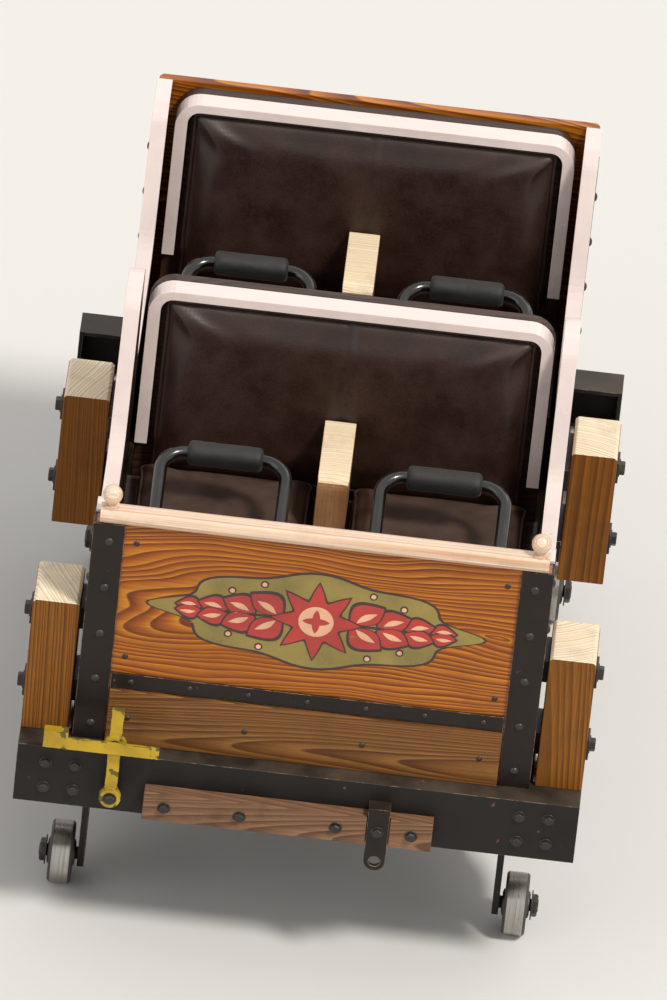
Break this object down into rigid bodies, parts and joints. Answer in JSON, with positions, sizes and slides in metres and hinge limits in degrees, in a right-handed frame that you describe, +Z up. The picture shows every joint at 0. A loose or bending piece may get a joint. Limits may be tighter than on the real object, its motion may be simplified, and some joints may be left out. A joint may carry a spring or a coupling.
{
  "type": "roller coaster car",
  "caption": "Open timber-bodied roller coaster car with two padded benches, a lap bar over each seat, stake posts at its sides and three-way wheel carriers that wrap the rails.",
  "frame": {"origin": "centre of the bounding box on the floor, at the bottoms of the four up-stop wheels the car stands on when off its track", "axes": "+Z up; the nose points to -Y and the drawbar trails to +Y; +X is the car's left"},
  "size_m": [1.34, 2.396, 1.295],
  "materials": {
    "varnished_wood": "glossy honey varnish over strong grain",
    "lower_wood": "paler orange oiled timber",
    "rail_wood": "pale rubbed timber",
    "post_wood": "ochre timber",
    "divider_wood": "tan timber",
    "buffer_wood": "tan timber, scuffed",
    "deck_wood": "worn dark boards",
    "seat_wood": "dark stained plywood",
    "vinyl": "dark brown vinyl, slightly shiny",
    "panel_paint": "rose champagne metallic paint",
    "trim_metal": "champagne satin moulding",
    "iron_paint": "dark brown-black paint",
    "frame_steel": "greasy black paint",
    "bar_black": "glossy black",
    "foam": "black skinned foam",
    "yellow_paint": "chipped yellow paint",
    "wheel_steel": "dark hub with worn bright tread",
    "bare_steel": "bare, scraped"
  },
  "bodies": {
    "car": {"side_sills": "frame_steel", "end_beams": "frame_steel", "axle_tubes": "frame_steel", "wheel_carriers": "frame_steel", "cross_members": "frame_steel", "floor_boards": "deck_wood", "side_panels": "panel_paint", "side_trims": "trim_metal", "front_panel": "varnished_wood", "front_lower_board": "lower_wood", "cap_rail": "rail_wood", "rear_panel": "varnished_wood", "body_irons": "iron_paint", "stake_posts": "post_wood", "benches": "seat_wood", "seat_cushions": "vinyl", "back_boards": "seat_wood", "back_pads": "vinyl", "back_trims": "trim_metal", "seat_dividers": "divider_wood", "bar_stands": "bar_black", "release_pedal": "yellow_paint", "buffer_board": "buffer_wood", "tow_strap": "iron_paint", "brake_fin": "bare_steel"},
    "road_wheel_front_left": {"road_wheel_front_left": "wheel_steel"},
    "guide_wheel_front_left": {"guide_wheel_front_left": "wheel_steel"},
    "upstop_wheel_front_left": {"upstop_wheel_front_left": "wheel_steel"},
    "road_wheel_front_right": {"road_wheel_front_right": "wheel_steel"},
    "guide_wheel_front_right": {"guide_wheel_front_right": "wheel_steel"},
    "upstop_wheel_front_right": {"upstop_wheel_front_right": "wheel_steel"},
    "road_wheel_rear_left": {"road_wheel_rear_left": "wheel_steel"},
    "guide_wheel_rear_left": {"guide_wheel_rear_left": "wheel_steel"},
    "upstop_wheel_rear_left": {"upstop_wheel_rear_left": "wheel_steel"},
    "road_wheel_rear_right": {"road_wheel_rear_right": "wheel_steel"},
    "guide_wheel_rear_right": {"guide_wheel_rear_right": "wheel_steel"},
    "upstop_wheel_rear_right": {"upstop_wheel_rear_right": "wheel_steel"},
    "lap_bar_front_left": {"lap_bar_front_left": "bar_black", "lap_sleeves_front_left": "foam"},
    "lap_bar_front_right": {"lap_bar_front_right": "bar_black", "lap_sleeves_front_right": "foam"},
    "lap_bar_rear_left": {"lap_bar_rear_left": "bar_black", "lap_sleeves_rear_left": "foam"},
    "lap_bar_rear_right": {"lap_bar_rear_right": "bar_black", "lap_sleeves_rear_right": "foam"},
    "drawbar": {"drawbar": "frame_steel"},
    "chain_dog": {"chain_dog": "bare_steel"},
    "rollback_dog": {"rollback_dog": "bare_steel"}
  },
  "joints": [
    {"name": "road_wheel_front_left_spin", "type": "hinge", "parent": "car", "child": "road_wheel_front_left", "pos_m": [0.5845, -0.886, 0.39], "axis": [1, 0, 0], "continuous": true},
    {"name": "guide_wheel_front_left_spin", "type": "hinge", "parent": "car", "child": "guide_wheel_front_left", "pos_m": [0.4405, -0.706, 0.204], "axis": [0, 0, 1], "continuous": true},
    {"name": "upstop_wheel_front_left_spin", "type": "hinge", "parent": "car", "child": "upstop_wheel_front_left", "pos_m": [0.5475, -0.886, 0.076], "axis": [1, 0, 0], "continuous": true},
    {"name": "road_wheel_front_right_spin", "type": "hinge", "parent": "car", "child": "road_wheel_front_right", "pos_m": [-0.5845, -0.886, 0.39], "axis": [1, 0, 0], "continuous": true},
    {"name": "guide_wheel_front_right_spin", "type": "hinge", "parent": "car", "child": "guide_wheel_front_right", "pos_m": [-0.4405, -0.706, 0.204], "axis": [0, 0, 1], "continuous": true},
    {"name": "upstop_wheel_front_right_spin", "type": "hinge", "parent": "car", "child": "upstop_wheel_front_right", "pos_m": [-0.5475, -0.886, 0.076], "axis": [1, 0, 0], "continuous": true},
    {"name": "road_wheel_rear_left_spin", "type": "hinge", "parent": "car", "child": "road_wheel_rear_left", "pos_m": [0.5845, 0.494, 0.39], "axis": [1, 0, 0], "continuous": true},
    {"name": "guide_wheel_rear_left_spin", "type": "hinge", "parent": "car", "child": "guide_wheel_rear_left", "pos_m": [0.4405, 0.314, 0.204], "axis": [0, 0, 1], "continuous": true},
    {"name": "upstop_wheel_rear_left_spin", "type": "hinge", "parent": "car", "child": "upstop_wheel_rear_left", "pos_m": [0.5475, 0.494, 0.076], "axis": [1, 0, 0], "continuous": true},
    {"name": "road_wheel_rear_right_spin", "type": "hinge", "parent": "car", "child": "road_wheel_rear_right", "pos_m": [-0.5845, 0.494, 0.39], "axis": [1, 0, 0], "continuous": true},
    {"name": "guide_wheel_rear_right_spin", "type": "hinge", "parent": "car", "child": "guide_wheel_rear_right", "pos_m": [-0.4405, 0.314, 0.204], "axis": [0, 0, 1], "continuous": true},
    {"name": "upstop_wheel_rear_right_spin", "type": "hinge", "parent": "car", "child": "upstop_wheel_rear_right", "pos_m": [-0.5475, 0.494, 0.076], "axis": [1, 0, 0], "continuous": true},
    {"name": "lap_bar_front_left_hinge", "type": "hinge", "parent": "car", "child": "lap_bar_front_left", "pos_m": [0.263, -0.796, 0.675], "axis": [1, 0, 0], "range_deg": [0, 45]},
    {"name": "lap_bar_front_right_hinge", "type": "hinge", "parent": "car", "child": "lap_bar_front_right", "pos_m": [-0.263, -0.796, 0.675], "axis": [1, 0, 0], "range_deg": [0, 45]},
    {"name": "lap_bar_rear_left_hinge", "type": "hinge", "parent": "car", "child": "lap_bar_rear_left", "pos_m": [0.263, 0.058, 0.675], "axis": [1, 0, 0], "range_deg": [0, 45]},
    {"name": "lap_bar_rear_right_hinge", "type": "hinge", "parent": "car", "child": "lap_bar_rear_right", "pos_m": [-0.263, 0.058, 0.675], "axis": [1, 0, 0], "range_deg": [0, 45]},
    {"name": "drawbar_yaw", "type": "hinge", "parent": "car", "child": "drawbar", "pos_m": [0, 0.824, 0.465], "axis": [0, 0, 1], "range_deg": [-25, 25]},
    {"name": "chain_dog_lift", "type": "hinge", "parent": "car", "child": "chain_dog", "pos_m": [0, -0.466, 0.385], "axis": [1, 0, 0], "range_deg": [0, 25]},
    {"name": "rollback_dog_lift", "type": "hinge", "parent": "car", "child": "rollback_dog", "pos_m": [0, 0.164, 0.385], "axis": [1, 0, 0], "range_deg": [0, 25]}
  ]
}
